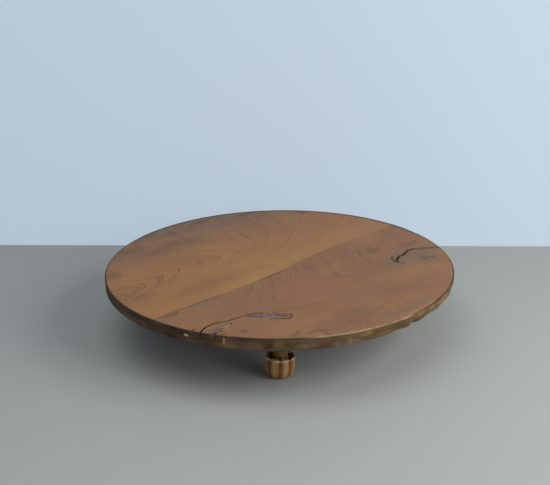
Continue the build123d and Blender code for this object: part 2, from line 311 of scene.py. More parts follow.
def makeRingGroup():                      # ring-porous wood: a fine dark pore line, then a slow fade
    tree, given, out = newGroup(
        "growthRings", ("Tone", "Fibre", "Pores"), Phase=0.0, Along=0.0, Fineness=1.0)
    phase, along, fineness = (Wire(tree, given[i]) for i in range(3))
    close = phase * fineness
    fibre = stretched(tree, (close, along), (3.1, 11.0), 3.0)
    share = (phase + fibre * ringLook["waver"]).calc("FRACT")
    line = addNode(tree, "ValToRGB", {0: share})
    ramp = line.color_ramp
    ramp.interpolation = "EASE"
    for spot, value in ringLook["fade"]:
        ramp.elements.new(spot).color = grey(value)
    ramp.elements[0].color = ramp.elements[-1].color = grey(ringLook["ends"])
    strength = stretched(tree, (phase, along), (0.6, 5.0), 1.0).step(*ringLook["strength"])
    between = (phase * 3.0 + fibre * 0.9).calc("FRACT").step(0.55, 1.0)
    tone = Wire(tree, line.outputs[0]) * strength + between * 0.2
    pores = stretched(tree, (close, along), (26.0, 62.0)).step(0.54, 0.72)
    plug(tree, out["Tone"], tone)
    plug(tree, out["Fibre"], fibre)
    plug(tree, out["Pores"], pores * (tone * 0.8 + 0.2))
    return tree


def makeKnotGroup():                      # rings close up round a knot: a hill in the ring count
    tree, given, out = newGroup(
        "knotSwell", ("Swell", "Mask"), Place=(0, 0, 0), Centre=(0, 0, 0), Reach=0.05, Rings=5.0)
    apart = vectorNumber(tree, "DISTANCE", given["Place"], given["Centre"])
    fall = (apart / Wire(tree, given["Reach"])).bell()
    plug(tree, out["Swell"], fall * Wire(tree, given["Rings"]))
    plug(tree, out["Mask"], fall)
    return tree


def makeRunGroup():                       # distance to a straight run of a crack, for the stain beside it
    tree, given, out = newGroup(
        "besideRun", ["Distance"], Place=(0, 0, 0), Start=(0, 0, 0), Run=(0.05, 0, 0))
    away = vectorCalc(tree, "SUBTRACT", given["Place"], given["Start"])
    along = vectorNumber(tree, "DOT_PRODUCT", away, given["Run"])
    length = vectorNumber(tree, "DOT_PRODUCT", given["Run"], given["Run"])
    share = (along / length).most(0.0).least(1.0)
    nearest = addNode(tree, "VectorMath", {0: given["Run"], "Scale": share}, operation="SCALE")
    plug(tree, out["Distance"], vectorNumber(tree, "DISTANCE", away, nearest.outputs[0]))
    return tree


def makeStainGroup():                     # an oval stain with a ragged edge
    tree, given, out = newGroup(
        "raggedStain", ["Mask"], Place=(0, 0, 0), Centre=(0, 0, 0), Size=(0.02, 0.02, 1), Ragged=0.5)
    away = vectorCalc(tree, "SUBTRACT", given["Place"], given["Centre"])
    length = vectorNumber(tree, "LENGTH", vectorCalc(tree, "DIVIDE", away, given["Size"]))
    tear = (speckle(tree, given["Place"], 90.0, 3.0) - 0.5) * Wire(tree, given["Ragged"]) * 2.4
    plug(tree, out["Mask"], (length + tear).step(1.2, 0.5))
    return tree


def makeEdgeGroup():                      # handling wear along the edges of a squared piece
    tree, given, out = newGroup(
        "edgeWear", ["Mask"], Place=(0, 0, 0), Low=(0, 0, 0), High=(1, 1, 1), Width=0.003)
    fromLow = vectorCalc(tree, "SUBTRACT", given["Place"], given["Low"])
    fromHigh = vectorCalc(tree, "SUBTRACT", given["High"], given["Place"])
    a, b, c = axes(tree, vectorCalc(tree, "MINIMUM", fromLow, fromHigh))
    second = a + b + c - a.least(b).least(c) - a.most(b).most(c)   # small only where two faces meet
    worn = speckle(tree, given["Place"], 55.0, 3.0).step(0.38, 0.6)
    plug(tree, out["Mask"], (second / Wire(tree, given["Width"])).step(1.6, 0.5) * worn)
    return tree


ringGroup = makeRingGroup()
knotGroup = makeKnotGroup()
runGroup = makeRunGroup()
stainGroup = makeStainGroup()
edgeGroup = makeEdgeGroup()
print("shared effects made")


# Floor, wall, light and camera

camera = dict(
    lens=58.9,                            # mm
    sensor=36,                            # mm wide
    azimuth=radians(-43.8),
    pitch=radians(-19.98),
    roll=radians(-0.83),
    distance=4.869,                       # in radii of the top, from its middle along the floor
    sideways=-0.023,
    above=1.896,                          # over the top's upper face
)


def makeCamera():
    forwardFlat = Vector((-sin(camera["azimuth"]), cos(camera["azimuth"]), 0))
    right = Vector((cos(camera["azimuth"]), sin(camera["azimuth"]), 0))
    forward = forwardFlat * cos(camera["pitch"]) + Vector((0, 0, sin(camera["pitch"])))
    up = right.cross(forward)
    turnedRight = right * cos(camera["roll"]) + up * sin(camera["roll"])
    turnedUp = turnedRight.cross(forward)
    lens = bpy.data.cameras.new("camera")
    lens.lens, lens.sensor_width = camera["lens"], camera["sensor"]
    holder = bpy.data.objects.new("camera", lens)
    bpy.context.scene.collection.objects.link(holder)
    place = forwardFlat * -camera["distance"] * rimRadius + right * camera["sideways"] * rimRadius
    place.z = topLevel + camera["above"] * rimRadius
    turn = Matrix((turnedRight, turnedUp, -forward)).transposed()
    holder.matrix_world = Matrix.Translation(place) @ turn.to_4x4()
    bpy.context.scene.camera = holder
    return forwardFlat, right


viewForward, viewRight = makeCamera()

room = dict(
    floorSize=14.0,
    floorGap=0.2 * mm,                    # keeps the floor off the flat faces that stand on it
    wallBehind=1.375,                     # in radii of the top
    wallTurn=radians(-46.6),
    wallHeight=4.0,
    roughness=0.8,
    floorColour=linear(167, 171, 169),
    wallColour=linear(129, 137, 145),
    wallGlow=(0.325, 0.394, 0.47, 1.0),   # what the camera and gloss see on top of the light it takes
)


def seeThroughFromBehind(tree, shader):   # the stage hides nothing in views from behind or below
    clear = tree.nodes.new("ShaderNodeBsdfTransparent")
    facing = tree.nodes.new("ShaderNodeNewGeometry").outputs["Backfacing"]
    both = addNode(tree, "MixShader", {0: facing, 1: shader.outputs[0], 2: clear.outputs[0]})
    plug(tree, tree.nodes["Material Output"].inputs["Surface"], both.outputs[0])


def glowForCamera(tree, shader, glow):
    ray = tree.nodes.new("ShaderNodeLightPath").outputs
    seen = Wire(tree, ray["Is Camera Ray"]).most(ray["Is Glossy Ray"])
    shader.inputs["Emission Color"].default_value = glow
    plug(tree, shader.inputs["Emission Strength"], seen)


def finishSheet(sheet, colour, glow=None):
    finish, tree, shader, _ = newMaterial(sheet.name)
    shader.inputs["Base Color"].default_value = colour
    shader.inputs["Roughness"].default_value = room["roughness"]
    if glow:
        glowForCamera(tree, shader, glow)
    seeThroughFromBehind(tree, shader)
    sheet.data.materials.append(finish)


def makeFloor():
    deselectAll()
    bpy.ops.mesh.primitive_plane_add(size=room["floorSize"], location=(0, 0, -room["floorGap"]))
    finishSheet(nameIt("floor"), room["floorColour"])


def makeWall():
    turn, height = room["wallTurn"], room["wallHeight"]
    deselectAll()
    bpy.ops.mesh.primitive_plane_add(size=1, rotation=(pi / 2, 0, turn))
    sheet = nameIt("wall")
    sheet.scale = (room["floorSize"], height, 1)
    back = Vector((-sin(turn), cos(turn), 0)) * room["wallBehind"] * rimRadius
    sheet.location = back + Vector((0, 0, height / 2))
    finishSheet(sheet, room["wallColour"], room["wallGlow"])


makeFloor()
makeWall()

# Lamps, in metres from the middle of the table: to the camera's right, away from it, and up
lamps = dict(
    window=dict(side=2.0, forward=-1.3, height=1.4, size=1.8, power=62, colour=(1.0, 0.985, 0.965)),
    fill=dict(side=-0.6, forward=-1.0, height=2.8, size=2.2, power=24, colour=(0.98, 0.99, 1.0)),
)
lampsAim = Vector((0, 0, 0.1))
sky = dict(colour=(0.9, 0.95, 1.0, 1.0), strength=0.36)


def makeLamps():
    for name, lamp in lamps.items():
        light = bpy.data.lights.new(name, "AREA")
        light.energy, light.size, light.color = lamp["power"], lamp["size"], lamp["colour"]
        holder = bpy.data.objects.new(name, light)
        place = viewRight * lamp["side"] + viewForward * lamp["forward"] + Vector((0, 0, lamp["height"]))
        holder.location = place
        holder.rotation_euler = (lampsAim - place).to_track_quat("-Z", "Y").to_euler()
        bpy.context.scene.collection.objects.link(holder)


def makeSky():
    world = bpy.data.worlds.new("world")
    world.use_nodes = True
    background = world.node_tree.nodes["Background"]
    background.inputs["Color"].default_value = sky["colour"]
    background.inputs["Strength"].default_value = sky["strength"]
    bpy.context.scene.world = world


makeLamps()
makeSky()
bpy.context.scene.view_settings.view_transform = "Standard"
print("camera, room and light made")


# Top boards

board = dict(
    segments=1440,
    heights=(0.7, 1.8, 3.2, 5.5, 9, 13, 17, 20.5, 23, 24.3, 25.3),   # mm, rings round the rim
    insets=(1.5, 2.5, 3.5, 5.0, 8.0, 12.0),   # mm, rings on the flat faces beside the rim
    grid=30 * mm,                         # the flat faces are cut into squares of this size
    gridShift=0.37,                       # of a square, so that no cut runs through the middle
    gridEdge=36 * mm,                     # the squares stop about this far from the rim
    arris=2.6 * mm,
    lowerArris=4.5 * mm,
    lowerFlat=0.8,                        # the lower arris goes in by this share of its height
    wearFade=30 * mm,                     # wear reaches this far in from the rim
    roughness=0.8 * mm,
    lumps=(28, 28, 30),                   # to a metre, along each axis
    grain=(150, 150, 210),
    smoothTo=radians(35),
)

# Places on the top, in mm from its middle: the cracks, as (x, y, half width, depth)
cracks = dict(
    frontSplit=[(-350, -149, 1.8, 5), (-340, -143, 1.7, 9), (-325, -137, 1.9, 10), (-304, -136, 1.9, 9),
                (-283, -145, 1.6, 8), (-262, -148, 1.1, 7), (-246, -149, 1.0, 6), (-230, -153, 1.2, 5)],
    frontSplitEdge=[(-231, -153, 1.2, 4), (-217, -158, 1.0, 3), (-206, -167, 0.5, 2)],
    frontSplitTail=[(-216, -197, 0.7, 3), (-204, -208, 1.1, 4), (-190, -222, 1.2, 4), (-179, -219, 0.8, 3),
                    (-173, -209, 0.4, 2)],
    splinterOne=[(-322, -158, 0.8, 3), (-306, -163, 1.6, 4)],
    splinterTwo=[(-329, -167, 0.8, 3), (-312, -172, 1.8, 4)],
    splinterThree=[(-334, -178, 0.8, 3), (-318, -183, 1.7, 4)],
    splinterEdge=[(-283, -150, 0.5, 3), (-280, -160, 0.9, 3), (-293, -168, 0.5, 3)],
    rearHook=[(202, -154, 0.5, 3), (192, -160, 1.0, 4), (186, -168, 1.2, 5), (181, -183, 1.0, 5),
              (184, -192, 1.4, 4), (190, -200, 1.2, 3)],
    rearSplit=[(187, -181, 2.0, 6), (196, -172, 1.7, 7), (204, -167, 2.0, 7), (218, -164, 1.5, 7),
               (227, -165, 2.9, 7), (241, -160, 1.9, 6), (259, -154, 1.6, 6), (272, -157, 2.5, 6),
               (282, -168, 2.1, 6), (290, -169, 1.1, 5), (311, -183, 0.8, 4), (334, -199, 0.6, 4)],
    rearSecond=[(247, -187, 0.4, 2), (262, -196, 0.5, 2)],
)
tornBand = [(-236, -158, 6.0, 0.9), (-223, -168, 10.5, 1.1), (-206, -183, 11.5, 1.2),
            (-192, -199, 10.5, 1.1), (-181, -210, 6.0, 0.8)]
seam = dict(
    width=0.7 * mm,
    depth=0.9 * mm,
    least=0.3,                            # of the depth, where the joint is tight
    open=[(-290, 90), (-60, 40)],         # x and reach of the gaps, in mm
)

# Worn places on the rim: angle and half width in degrees, depth in mm, and the edge that is worn
wornSpots = [
    (-84, 36, 6.5, "lower"), (-90.5, 2.2, 6.0, "lower"), (-97, 4, 3.5, "lower"), (-82, 5, 3.0, "lower"),
    (-70, 3, 2.0, "lower"), (-61, 4, 2.5, "lower"), (-110, 5, 2.0, "lower"),
    (-89, 8, 1.9, "upper"), (-97, 3, 1.2, "upper"), (-80, 3, 1.4, "upper"), (-104, 5, 0.8, "upper"),
    (-120, 3, 0.9, "upper"), (-153, 1.2, 2.4, "upper"), (-160, 0.8, 1.6, "upper"), (-147, 2, 1.5, "lower"),
    (-169, 5, 1.2, "lower"), (-129, 5, 1.0, "lower"), (48, 6, 1.2, "lower"), (110, 5, 1.4, "lower"),
    (160, 4, 1.2, "upper"), (15, 5, 1.2, "lower"), (-30, 3, 1.6, "lower"), (-12, 4, 1.0, "upper"),
]


def wearAt(angle, spot, width):           # 1 in the middle of a worn spot, falling to 0 at its ends
    apart = abs((angle - spot + 180) % 360 - 180) / width
    return max(0.0, 1 - apart * apart) ** 2


def rimInset(angle, share):               # share runs from 0 at the lower edge to 1 at the upper edge
    height = share * thickness
    inset = 0.0
    if height < board["lowerArris"]:
        rise = 1 - height / board["lowerArris"]
        inset = board["lowerArris"] * (1 - sqrt(max(0.0, 1 - rise * rise))) * board["lowerFlat"]
    over = height - (thickness - board["arris"])
    if over > 0:
        rise = over / board["arris"]
        inset = board["arris"] * (1 - sqrt(max(0.0, 1 - rise * rise)))
    for spot, width, depth, edge in wornSpots:
        reach = (1 - share) if edge == "lower" else share
        inset += depth * mm * wearAt(angle, spot, width) * max(0.0, reach * 1.6 - 0.6)
    return inset


def makeDisc():                           # the round top, cut into rings and squares that wear can move
    deselectAll()
    bpy.ops.mesh.primitive_cylinder_add(
        vertices=board["segments"], radius=rimRadius, depth=thickness,
        location=(0, 0, (topLevel + underLevel) / 2), end_fill_type="NGON",
    )
    disc = nameIt("blank")
    putInPlace(disc)
    bpy.ops.object.mode_set(mode="EDIT")
    for height in board["heights"]:
        cutAcross((0, 0, underLevel + height * mm), (0, 0, 1))
    for side in (1, -1):
        pickFaces(disc, lambda face: face.normal.z * side > 0.9)
        for step in board["insets"]:
            bpy.ops.mesh.inset(thickness=step * mm)
    squares = int((rimRadius - board["gridEdge"]) / board["grid"])
    for i in range(-squares, squares + 1):
        for direction in ((1, 0, 0), (0, 1, 0)):
            cutAcross(Vector(direction) * (i + board["gridShift"]) * board["grid"], direction)
    for aside in (-seam["width"], 0, seam["width"]):
        cutAcross((0, glueLine + aside, 0), (0, 1, 0))
    closeMesh()
    return disc


def sinkSeam(place):                      # a shallow groove along the joint, deeper where it has opened
    if abs(place.y - glueLine) < 0.1 * mm and place.z > topLevel - 0.1 * mm:
        opened = [1 - abs(place.x / mm - x) / wide * 0.6 for x, wide in seam["open"]]
        place.z -= seam["depth"] * max([seam["least"]] + opened)


def wearRim(place, reach):
    angle = degrees(atan2(place.y, place.x))
    share = (place.z - underLevel) / thickness
    out = Vector((place.x, place.y, 0)) / reach
    lumps = noise.noise(Vector([part * count for part, count in zip(place, board["lumps"])]))
    grain = noise.noise(Vector([part * count for part, count in zip(place, board["grain"])]))
    fade = max(0.0, 1 - (rimRadius - reach) / board["wearFade"])
    inset = rimInset(angle, share) + board["roughness"] * (0.55 + 0.35 * lumps + 0.3 * grain)
    place -= out * max(0.0, inset) * fade
    if share > 0.99:
        worn = 0.25 + 0.5 * max(0.0, lumps) + 0.25 * grain
        for spot, width, depth, edge in wornSpots:
            if edge == "upper":
                worn += depth * wearAt(angle, spot, width)
        place.z -= fade ** 5 * worn * mm
    if share < 0.01:
        place.z += fade ** 3 * (1.2 + 1.0 * lumps) * mm


def makeBlank():
    blank = makeDisc()
    for vertex in blank.data.vertices:
        reach = hypot(vertex.co.x, vertex.co.y)
        sinkSeam(vertex.co)
        if reach > rimRadius - board["wearFade"]:
            wearRim(vertex.co, reach)
    return blank


cutting = dict(
    piece=3.5,                            # mm, about how long each straight bit of a crack is
    stray=0.8,                            # mm, how far its points stray
    swell=(0.6, 1.35),                    # least and greatest share of the width given
    weld=0.01 * mm,
    sliver=0.06 * mm,
)


def strayPoints(run):
    points = []
    for (x, y, half, deep), (x2, y2, half2, deep2) in zip(run, run[1:]):
        pieces = max(2, int(hypot(x2 - x, y2 - y) / cutting["piece"]))
        for i in range(pieces):
            t = i / pieces
            stray = 0.0
            if i > 0:
                stray = random.uniform(-cutting["stray"], cutting["stray"]) * min(1.0, half)
            wide = (half + (half2 - half) * t) * random.uniform(*cutting["swell"])
            place = (x + (x2 - x) * t + stray, y + (y2 - y) * t + stray)
            points.append((*place, wide, deep + (deep2 - deep) * t))
    return points + [run[-1]]


def makeCutter(name, run):
    curve = bpy.data.curves.new(name, "CURVE")
    curve.dimensions = "3D"
    curve.bevel_depth, curve.bevel_resolution = mm, 2
    curve.use_fill_caps = True
    points = strayPoints(run)
    line = curve.splines.new("POLY")
    line.points.add(len(points) - 1)
    for point, (x, y, half, _) in zip(line.points, points):
        point.co = (x * mm, y * mm, 0, 1)
        point.radius = half
    holder = bpy.data.objects.new(name, curve)
    bpy.context.scene.collection.objects.link(holder)
    selectOnly(holder)
    bpy.ops.object.convert(target="MESH")
    cutter = nameIt(name)
    openMesh(cutter)
    bpy.ops.mesh.remove_doubles(threshold=cutting["weld"])
    bpy.ops.mesh.normals_make_consistent(inside=False)
    closeMesh()
    for vertex in cutter.data.vertices:   # a thin round run becomes a deep wedge
        place = vertex.co
        near = min(points, key=lambda p: (p[0] * mm - place.x) ** 2 + (p[1] * mm - place.y) ** 2)
        place.z = topLevel + place.z * near[3] / near[2]
    return cutter


def joinCutters():
    cutters = [makeCutter(name, run) for name, run in {**cracks, "tornBand": tornBand}.items()]
    selectOnly(cutters[0])
    for cutter in cutters:
        cutter.select_set(True)
    bpy.ops.object.join()
    deselectAll()
    bpy.ops.mesh.primitive_cube_add(size=mm, location=(2, 2, 2))   # far off
    speck = nameIt("speck")               # the union with it only clears the runs' own crossings
    applyModifier(cutters[0], "BOOLEAN", object=speck, operation="UNION", solver="EXACT", use_self=True)
    bpy.data.objects.remove(speck)
    return cutters[0]


def halfOf(blank, name, side):
    piece = copyOf(blank, name)
    openMesh(piece)
    cutAcross((0, glueLine, 0), (0, -side, 0), use_fill=True, clear_outer=True)
    bpy.ops.mesh.select_all(action="SELECT")
    bpy.ops.mesh.normals_make_consistent(inside=False)
    closeMesh()
    return piece


def clearSlivers(piece):                  # the cut leaves faces with no width along its edges
    openMesh(piece)
    bpy.ops.mesh.remove_doubles(threshold=cutting["sliver"])
    bpy.ops.mesh.dissolve_degenerate(threshold=cutting["sliver"])
    closeMesh()


def makeBoards():
    blank = makeBlank()
    cutter = joinCutters()
    boards = []
    for name, side in (("wideBoard", 1), ("narrowBoard", -1)):
        piece = halfOf(blank, name, side)
        if side < 0:
            applyModifier(piece, "BOOLEAN", object=cutter, operation="DIFFERENCE", solver="EXACT")
            clearSlivers(piece)
        selectOnly(piece)
        bpy.ops.object.shade_smooth_by_angle(angle=board["smoothTo"])
        boards.append(piece)
    for spare in (blank, cutter):
        bpy.data.objects.remove(spare)
    return boards


wideBoard, narrowBoard = makeBoards()
boardPlaces = (
    (wideBoard, "top_board_wide", "wide_board"),
    (narrowBoard, "top_board_narrow", "narrow_board"),
)
for piece, node, slot in boardPlaces:
    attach(piece, "table_top")
    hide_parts(node)
print("top boards made")


# Finish of the boards

boardFinish = dict(
    wide=dict(light=linear(163, 112, 58), dark=linear(92, 56, 30), pitch=13 * mm, lines=0.85),
    narrow=dict(light=linear(143, 98, 59), dark=linear(78, 49, 31), pitch=13 * mm, lines=0.45),
    golden=linear(160, 119, 64),
    reddish=linear(138, 89, 58),
    pore=linear(54, 34, 23),
    greyStain=linear(108, 90, 68),
    mauveStain=linear(104, 70, 58),
    brownStain=linear(80, 49, 26),
    # colour of the painted shade towards the back of the top
    backShade=linear(96, 74, 58),
    crack=linear(28, 17, 12),
    tornRed=linear(104, 68, 56),
    tornGrey=linear(116, 106, 108),
    rimDark=linear(34, 19, 9),
    rimGold=linear(130, 101, 60),
    rimRed=linear(80, 50, 32),
    rimMauve=linear(98, 75, 60),
    rimPale=linear(152, 128, 98),
    arris=linear(188, 160, 126),
    fresh=linear(206, 190, 164),
    under=linear(120, 92, 66),
    underDark=linear(84, 62, 44),
    gloss=0.35,
    bump=0.35 * mm,
)
# Places on the top, in mm from its middle, where each effect begins and where it is full
boardAreas = dict(
    goldLift=(-100, 400, 0.0, 75 * mm),   # the last value is how far it leaves the joint
    goldBand=(6, -16),
    goldAlong=(-260, -40),
    redAlong=(-50, 300),
    bendAlong=(-130, 140),
    bendBy=24,                            # the narrow board's colour runs past the joint by this much
    bendEdge=(2, -2),
    backShade=(120, 370),
    smear=(3.4, 0.8),                     # from the joint, where it has opened
    tornGrey=(-231, -216),                # the torn strip turns from red to grey
    tornRed=(-188, -197),                 # and is red again at its other end
    paleEdgeLeft=(-240, -190),              # these three bound the stretch of edge that is pale: hand wear and a painted highlight
    paleEdgeRight=(-6, -34),
    paleEdgeFront=(-100, -250),
    strokesAt=-14,                        # the middle of a few pale strokes over the front edge
    strokes=(34, 18),
    strokesFront=(0.0, -200),
    cutSides=(150, 165),                  # cracks may run out through the rim beyond this, each way
    cutSeam=(6, 3),                       # from the joint
    rimLit=(-150, 360),                    # along litRimWay: painted light towards it, painted shade away from it
    farEdgeDark=(120, 220),                     # along farSide
    litRimWay=(0.722, -0.692),             # the way to the rim's lit side: painted light on it, painted shade on the other side
    farSide=(0.692, 0.722),               # the way to the stretch of rim whose upper edge is darker
)
# The same, as distances in from the rim
fromRim = dict(
    scallop=(18, 14),
    edge=(3.4, 1.8),
    arris=(5, 3.2),
    farEdgeDark=(15, 9),
    strokes=(19, 7),
    under=(4, 9),
    cut=(5, 7),
    inland=(20, 30),
)
# The same, as depths below the upper face
fromFace = dict(
    scallop=(3, 5),
    arris=(3.0, 1.2),
    strokes=(4, 2),
    pale=(8, thickness / mm - 3),
    under=(thickness / mm - 4, thickness / mm - 1),
    cut=(0.25, 1.2),
    cutEnd=(thickness / mm - 9, thickness / mm - 12),
    torn=(2.2, 1.6),
)
# How the grain wanders: waves to a metre, and how far they reach along it and across
waves = [(5.0, 30 * mm, 18 * mm), (24.0, 26 * mm, 12 * mm)]
# Rings of the wide board fan out from a point off its left end; places in metres, turns in radians
fan = dict(centre=(-507 * mm, 72 * mm), tip=0.205, blunt=0.08, below=3.2, spread=0.8, above=(1.6, -0.7),
           aboveFrom=330 * mm, aboveTo=660 * mm, aboveLimit=0.4, scale=400 * mm, power=1.35,
           plain=(0.08, 0.28), plainTo=760 * mm, sinkAt=-20 * mm, sinkReach=120 * mm, sinkBy=42 * mm,
           band=(45 * mm, 120 * mm), bandFrom=480 * mm, bandTo=640 * mm)
# Rings of the narrow board bow round a line along the grain, and close round a knot at the rim
bow = dict(centre=-142 * mm, round=25 * mm, above=(2.2, 0.75), aboveFrom=-250 * mm, aboveTo=-20 * mm,
           below=3.2, knot=(-197 * mm, -299 * mm, 0), knotTop=-153 * mm,
           knotFade=(60 * mm, 130 * mm, 0.3, 1.0), plain=(-180 * mm, -300 * mm, 1.0, 0.3),
           fadeX=(110 * mm, 240 * mm, 1.0, 0.4), fadeY=(-230 * mm, -170 * mm, 0.45, 1.0))
# Centre and reach in mm, rings in the swell, and the least strength of their lines
knots = dict(
    wide=[((-330, 60), 30, 1.5, 0.0)],
    narrow=[((251, -209), 26, 4.5, 1.6), ((203, -101), 13, 2.5, 0.0)],
)
stains = dict(                            # centre and size in mm, colour, strength
    wide=[((-50, 340), (45, 14), "greyStain", 0.5), ((0, 321), (30, 12), "greyStain", 0.35),
          ((73, 292), (40, 16), "greyStain", 0.35), ((152, 304), (36, 13), "greyStain", 0.45),
          ((211, 290), (34, 16), "greyStain", 0.45), ((282, 225), (26, 18), "greyStain", 0.4),
          ((-304, 208), (26, 34), "brownStain", 0.35), ((-186, 300), (50, 24), "brownStain", 0.4),
          ((182, 309), (44, 7), "brownStain", 0.75), ((-44, 328), (12, 12), "brownStain", 0.5),
          ((60, 343), (40, 8), "brownStain", 0.6), ((290, 215), (14, 20), "brownStain", 0.5),
          ((-100, 250), (90, 40), "brownStain", 0.25), ((-190, 20), (90, 26), "brownStain", 0.2)],
    narrow=[((-229, -278), (16, 9), "mauveStain", 0.6), ((-198, -292), (22, 7), "mauveStain", 0.7),
            ((-185, -306), (9, 16), "mauveStain", 0.6), ((-312, -157), (40, 13), "greyStain", 0.45),
            ((-292, -163), (16, 4), "golden", 0.6), ((-300, -172), (14, 3), "golden", 0.5),
            ((-330, -166), (22, 12), "mauveStain", 0.7), ((-288, -202), (9, 7), "brownStain", 0.5),
            ((-110, -305), (86, 38), "mauveStain", 0.42), ((235, -184), (90, 46), "greyStain", 0.45),
            ((200, -172), (40, 32), "greyStain", 0.3), ((246, -212), (11, 7), "brownStain", 0.6),
            ((264, -222), (11, 8), "brownStain", 0.6), ((205, -94), (26, 16), "brownStain", 0.25),
            ((-42, -346), (30, 12), "greyStain", 0.4), ((0, -356), (30, 14), "greyStain", 0.5),
            ((56, -350), (40, 16), "greyStain", 0.42), ((-262, -50), (40, 11), "greyStain", 0.6),
            ((-340, -50), (26, 9), "brownStain", 0.4), ((290, -130), (40, 12), "brownStain", 0.3),
            ((305, -85), (60, 34), "reddish", 0.5), ((-60, -150), (90, 60), "reddish", 0.35)],
)

# Dirt beside the cracks: which of them, and how far it reaches from them
splitStains = [
    (["frontSplit", "frontSplitEdge", "frontSplitTail"], 3.4 * mm),
    (["rearHook"], 3.4 * mm),
    (["rearSplit"], 7 * mm),
]
rimMarks = [                              # chips and rubs: x, y, z and size in mm, colour, strength
    ((-359, -120, 141), (5, 5, 2.4), "fresh", 0.75), ((-327, -190, 142), (2.4, 2.4, 8), "arris", 0.5),
    ((-300, -230, 136), (30, 30, 9), "rimMauve", 0.5), ((-265, -270, 138), (12, 12, 10), "rimGold", 0.35),
    ((-322, -198, 134), (16, 16, 10), "rimGold", 0.35), ((-222, -306, 136), (20, 20, 12), "rimMauve", 0.5),
    ((-123, -358, 142), (15, 15, 5), "rimGold", 0.7), ((-166, -340, 134), (11, 11, 8), "rimDark", 0.5),
    ((53, -375, 146), (11, 11, 4), "rimGold", 0.75), ((104, -364, 142), (28, 28, 9), "rimGold", 0.55),
    ((13, -378, 145), (13, 13, 7), "rimGold", 0.45), ((66, -373, 150), (18, 18, 1.8), "rimDark", 0.7),
]


def fanRings(x, y):
    sink = ((x - fan["sinkAt"]) / fan["sinkReach"]).bell() * y.step(0.0, 0.12) * fan["sinkBy"]
    dx, dy = x - fan["centre"][0], y + sink - fan["centre"][1]
    reach = dx.slant(dy)
    turn = dy.calc("ARCTAN2", dx) - fan["tip"]
    below = turn.least(0.0).slant(fan["blunt"]) - fan["blunt"]
    above = turn.most(0.0).least(fan["aboveLimit"])
    curl = reach.step(fan["aboveFrom"], fan["aboveTo"], *fan["above"])
    grow = (below / fan["spread"] + 1.0).calc("POWER", fan["below"] * fan["spread"])
    field = reach * grow * (above * curl).calc("EXPONENT")
    rings = fan["scale"] / boardFinish["wide"]["pitch"] / fan["power"]
    plain = turn.step(*fan["plain"]) * reach.step(fan["plainTo"], fan["plainTo"] * 0.7)
    apart = reach * turn / reach.step(fan["bandFrom"], fan["bandTo"], *fan["band"])
    strength = (apart.bell() * 0.75 + 0.25) * (plain * -0.75 + 1.0)
    return (field / fan["scale"]).calc("POWER", fan["power"]) * rings, strength, plain


def bowRings(tree, x, y):
    dy = y - bow["centre"]
    bend = dy.slant(bow["round"]) - bow["round"]
    above = x.step(bow["aboveFrom"], bow["aboveTo"], *bow["above"])
    upper = dy.step(-bow["round"], bow["round"])
    slope = above * upper + (upper * -1.0 + 1.0) * bow["below"]
    pitch = boardFinish["narrow"]["pitch"]
    phase = (x - slope * bend) / pitch
    apart = vectorNumber(tree, "DISTANCE", joined(tree, x, y), bow["knot"])
    knotPhase = apart / -pitch + bow["knotTop"] / pitch
    strength = apart.step(*bow["knotFade"]) * x.step(*bow["fadeX"])
    strength = strength * x.step(*bow["plain"]) * y.step(*bow["fadeY"])
    return phase.calc("SMOOTH_MAX", knotPhase, 1.5), strength, None


def wavyPlace(tree, place, x, y):
    for count, along, across in waves:
        stir = addNode(tree, "TexNoise", {"Vector": place, "Scale": count, "Detail": 2.0})
        aside, away, _ = axes(tree, stir.outputs["Color"])
        x = x + (aside - 0.5) * along
        y = y + (away - 0.5) * across
    return x, y


def knottedRings(tree, side, x, y):
    phase, strength, plain = fanRings(x, y) if side == "wide" else bowRings(tree, x, y)
    knotMask = None
    for centre, reach, count, least in knots[side]:
        swell, mask = useGroup(
            tree, knotGroup, Place=joined(tree, x, y), Centre=Vector((*centre, 0)) * mm,
            Reach=reach * mm, Rings=count)
        phase = phase + swell
        strength = strength.most(mask * least)
        knotMask = mask if knotMask is None else knotMask.most(mask)
    return phase, strength, plain, knotMask


def paintBands(wood, at, grain):          # the wide board's gold along the joint, and its redder parts
    lift = at.px.over(boardAreas["goldLift"])
    band = (at.py - lift).over(boardAreas["goldBand"]) * at.px.over(boardAreas["goldAlong"])
    wood.add(band * (grain.fibre * -0.6 + 0.95), "golden")
    wood.add(at.px.over(boardAreas["redAlong"]) * 0.4, "reddish")
    wood.add(grain.plain * grain.mottle.step(0.4, 0.62) * 0.5, "reddish")
    bend = at.px.over(boardAreas["bendAlong"]) * boardAreas["bendBy"] * mm
    reds = boardFinish["narrow"]
    redWood = blendColour(wood.tree, grain.shade, reds["light"], reds["dark"])
    wood.add((at.py - glueLine - bend).over(boardAreas["bendEdge"]), redWood)


def paintStains(wood, at, side):
    for centre, size, tone, strength in stains[side]:
        mask, = useGroup(
            wood.tree, stainGroup, Place=at.place, Centre=(centre[0] * mm, centre[1] * mm, topLevel),
            Size=(size[0] * mm, size[1] * mm, 1.0))
        wood.add(mask * strength, tone)
    for middle, wide in seam["open"]:
        smear = (at.py - glueLine).size().over(boardAreas["smear"])
        smear = smear * (at.px - middle * mm).size().step(wide * 1.2 * mm, wide * 0.6 * mm)
        wood.add(smear * 0.7, "brownStain")


def besideCracks(tree, place, names, width):
    nearest = None
    flat = vectorCalc(tree, "MULTIPLY", place, (1, 1, 0))
    for name in names:
        points = tornBand if name == "tornBand" else cracks[name]
        for (x, y, *_), (x2, y2, *_) in zip(points, points[1:]):
            run = ((x2 - x) * mm, (y2 - y) * mm, 0)
            apart, = useGroup(tree, runGroup, Place=flat, Start=(x * mm, y * mm, 0), Run=run)
            nearest = apart if nearest is None else nearest.least(apart)
    ragged = (speckle(tree, place, 160.0, 3.0) - 0.5) * width * 2.2
    return (nearest + ragged).step(width, width * 0.35)


